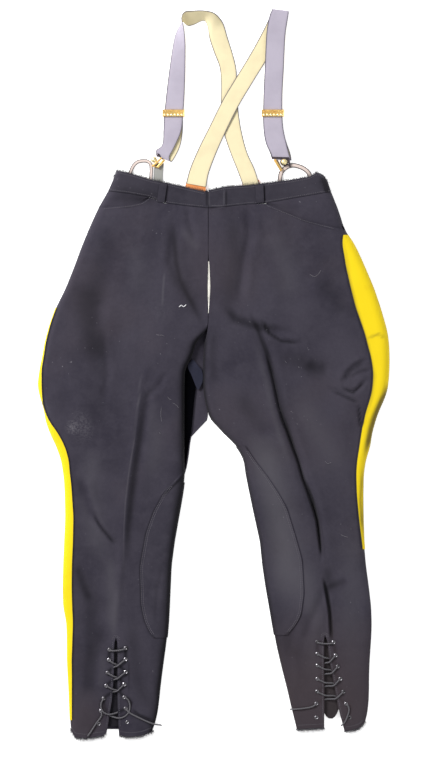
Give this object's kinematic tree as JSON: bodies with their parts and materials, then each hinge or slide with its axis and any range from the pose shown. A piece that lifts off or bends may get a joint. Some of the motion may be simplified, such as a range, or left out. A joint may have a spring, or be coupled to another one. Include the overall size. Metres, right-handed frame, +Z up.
{
  "type": "riding breeches",
  "caption": "Riding breeches laid flat, full at the thigh and laced at the calf, with side stripes, knee patches and crossed buttoned braces.",
  "frame": {"origin": "on the table under the middle of the outline of the laid-out breeches and braces", "axes": "+X to the wearer's left, +Y from the hems to the waist, +Z up from the table to the front of the garment"},
  "size_m": [0.6704, 1.3872, 0.0313],
  "materials": {
    "cloth": "matt wool twill",
    "patch": "matt suede cloth",
    "tongue": "matt",
    "lining": "matt cotton",
    "stripe": "smooth felt",
    "webbing": "woven elastic",
    "tape": "thin tape",
    "lace": "round braid",
    "runner": "satin",
    "tab": "satin",
    "brass": "polished",
    "eyelets": "dark nickel"
  },
  "bodies": {
    "root": {"front_panel_right": "cloth", "back_panel_right": "cloth", "waistband_front_right": "cloth", "pocket_facing_right": "cloth", "side_stripe_right": "stripe", "knee_patch_right": "patch", "vent_tongue_right": "tongue", "eyelet_right_outer_1": "eyelets", "eyelet_right_outer_2": "eyelets", "eyelet_right_outer_3": "eyelets", "eyelet_right_outer_4": "eyelets", "eyelet_right_outer_5": "eyelets", "eyelet_right_outer_6": "eyelets", "eyelet_right_outer_7": "eyelets", "eyelet_right_inner_1": "eyelets", "eyelet_right_inner_2": "eyelets", "eyelet_right_inner_3": "eyelets", "eyelet_right_inner_4": "eyelets", "eyelet_right_inner_5": "eyelets", "eyelet_right_inner_6": "eyelets", "eyelet_right_inner_7": "eyelets", "front_panel_left": "cloth", "back_panel_left": "cloth", "waistband_front_left": "cloth", "pocket_facing_left": "cloth", "side_stripe_left": "stripe", "knee_patch_left": "patch", "vent_tongue_left": "tongue", "eyelet_left_outer_1": "eyelets", "eyelet_left_outer_2": "eyelets", "eyelet_left_outer_3": "eyelets", "eyelet_left_outer_4": "eyelets", "eyelet_left_outer_5": "eyelets", "eyelet_left_outer_6": "eyelets", "eyelet_left_outer_7": "eyelets", "eyelet_left_inner_1": "eyelets", "eyelet_left_inner_2": "eyelets", "eyelet_left_inner_3": "eyelets", "eyelet_left_inner_4": "eyelets", "eyelet_left_inner_5": "eyelets", "eyelet_left_inner_6": "eyelets", "eyelet_left_inner_7": "eyelets", "waistband_back": "cloth", "fly_facing": "lining", "belt_loop_right": "cloth", "belt_loop_left": "cloth", "belt_loop_side": "cloth", "lace_right": "lace", "brace_strap_right": "webbing", "brace_slider_right": "brass", "brace_clip_right": "brass", "brace_runner_right": "runner", "brace_tab_right": "tab", "lace_left": "lace", "brace_strap_left": "webbing", "brace_slider_left": "brass", "brace_clip_left": "brass", "brace_runner_left": "runner", "brace_tab_left": "tab", "brace_tape_right": "tape"}
  },
  "joints": []
}
